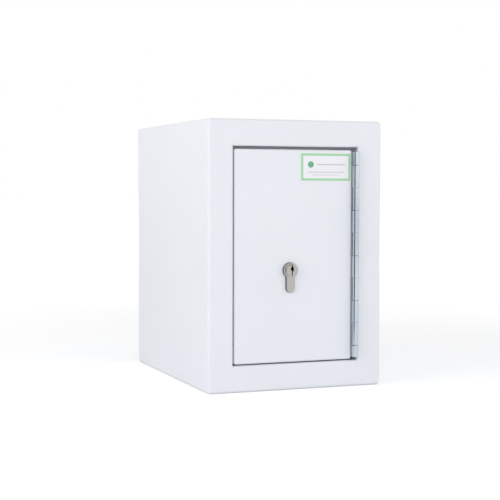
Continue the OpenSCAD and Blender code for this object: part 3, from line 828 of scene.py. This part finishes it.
# Moulded rubber: matt, with a fine bloom
rubber_skin, skin_in, skin_out = new_group(
    "rubber_skin",
    [
        ("Colour", "NodeSocketColor", (0.02, 0.02, 0.02, 1)),
        ("Roughness", "NodeSocketFloat", 0.6),
        ("Grain", "NodeSocketFloat", 0.3),
    ],
    skin_results,
)
place = object_coordinates(rubber_skin)
pores = noise(rubber_skin, place, 2200, 3)
links = rubber_skin.links
links.new(shaded(rubber_skin, skin_in.outputs["Colour"], pores, 0.5), skin_out.inputs["Colour"])
gloss = swing(rubber_skin, pores, skin_in.outputs["Roughness"], 0.2)
links.new(gloss, skin_out.inputs["Roughness"])
grain = bump(rubber_skin, pores, skin_in.outputs["Grain"], 0.05 * MM)
links.new(grain, skin_out.inputs["Normal"])
rubber = surface_material(
    "rubber", rubber_skin, {"Colour": (0.018, 0.018, 0.02, 1), "Roughness": 0.62, "Grain": 0.3}
)

for level in ("lower", "upper"):
    low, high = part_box(f"door_stop_{level}")
    angle = folded(angle_line(low, high, half), (0, 0, high.z - low.z), 2 * MM)
    sheet_piece(angle, f"stop_{level}", sheet, "cabinet", f"door_stop_{level}")
    bm = copy_of(f"door_buffer_{level}")
    round_edges(bm, sharp_edges(bm), 0.4 * MM, 3)
    buffer = to_object(bm, f"buffer_{level}", rubber)
    stands_for(buffer, "cabinet", "rubber", f"door_buffer_{level}")

# --- Shelf and supports -------------------------------------------------------------------
# A tray of thin coated sheet, its front lip folded down and its back lip up, lies loose on
# two angles welded to the sides.
support_t = 1.5 * MM
half = support_t / 2
for side in ("left", "right"):
    low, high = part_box(f"shelf_support_{side}")
    wall_x, lip_x = (low.x + half, high.x) if side == "left" else (high.x - half, low.x)
    ledge_z = high.z - half
    line = [(wall_x, low.y, low.z), (wall_x, low.y, ledge_z), (lip_x, low.y, ledge_z)]
    rail = folded(line, (0, high.y - low.y, 0), 1.6 * MM)
    sheet_piece(rail, f"rail_{side}", support_t, "cabinet", f"shelf_support_{side}")

shelf_t = 1.2 * MM
half = shelf_t / 2
low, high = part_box("shelf")
shelf_lip = 14 * MM
deck_z = low.z + shelf_lip - half
line = [
    (low.x, low.y + half, low.z), (low.x, low.y + half, deck_z),
    (low.x, high.y - half, deck_z), (low.x, high.y - half, high.z),
]
tray = folded(line, (high.x - low.x, 0, 0), 1.6 * MM)
sheet_piece(tray, "shelf_tray", shelf_t, "loose_shelf", "shelf")

# --- Label --------------------------------------------------------------------------------
# A white vinyl label, stuck in the door's upper corner beside the hinge. It is printed with a
# pale green border, a plain green dot and ruled lines.
label_low, label_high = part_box("door_label")
label_middle = (label_low + label_high) / 2
label_size = (label_high - label_low) / MM
film_white = (0.86, 0.85, 0.90, 1)
border_green = (0.36, 0.67, 0.39, 1)
dot_green = (0.17, 0.42, 0.24, 1)
rule_grey = (0.50, 0.50, 0.53, 1)
border = 2.4
# Each rule's middle across, middle up, length and thickness, in millimetres from the centre
rules = ((6.3, 2.7, 34.5, 1.0), (0.5, -5.7, 45, 0.7), (-0.3, -8.8, 32, 0.6))
dot_place = (-18.4, 2.8)
dot_r = 3.6

label_film = bpy.data.materials.new("label_film")
label_film.use_nodes = True
tree = label_film.node_tree
centred = tree.nodes.new("ShaderNodeMapping")
centred.vector_type = "TEXTURE"
centred.inputs["Location"].default_value = label_middle
centred.inputs["Scale"].default_value = (MM, MM, MM)
tree.links.new(object_coordinates(tree), centred.inputs["Vector"])
parts = tree.nodes.new("ShaderNodeSeparateXYZ")
tree.links.new(centred.outputs["Vector"], parts.inputs["Vector"])
across, up = parts.outputs["X"], parts.outputs["Z"]


def patch(tree, middle_x, middle_z, length, height):
    """1 inside a printed rectangle and 0 outside."""
    inside_x = math(tree, "COMPARE", across, middle_x, length / 2)
    return math(tree, "MULTIPLY", inside_x, math(tree, "COMPARE", up, middle_z, height / 2))


field = patch(tree, 0, 0, label_size.x - 2 * border, label_size.z - 2 * border)
colour = mixed(tree, field, border_green, film_white)
for rule in rules:
    colour = mixed(tree, patch(tree, *rule), colour, rule_grey)
off_x = math(tree, "POWER", math(tree, "SUBTRACT", across, dot_place[0]), 2)
off_z = math(tree, "POWER", math(tree, "SUBTRACT", up, dot_place[1]), 2)
dot = math(tree, "LESS_THAN", math(tree, "ADD", off_x, off_z), dot_r ** 2)
colour = mixed(tree, dot, colour, dot_green)
shader = tree.nodes["Principled BSDF"]
tree.links.new(colour, shader.inputs["Base Color"])
least_rough, film_variation = 0.25, 0.15
waviness = noise(tree, object_coordinates(tree), 300, 2)
film_gloss = math(tree, "MULTIPLY_ADD", waviness, film_variation, least_rough)
tree.links.new(film_gloss, shader.inputs["Roughness"])

bm = box_mesh(label_low, label_high)
corners = [e for e in bm.edges if abs(e.verts[0].co.y - e.verts[1].co.y) > hair]
round_edges(bm, corners, 0.6 * MM, 4)
round_edges(bm, edges_in_plane(bm, 1, label_low.y), 0.1 * MM, 1)
label = to_object(bm, "label", label_film)
stands_for(label, "door", "label_film", "door_label")
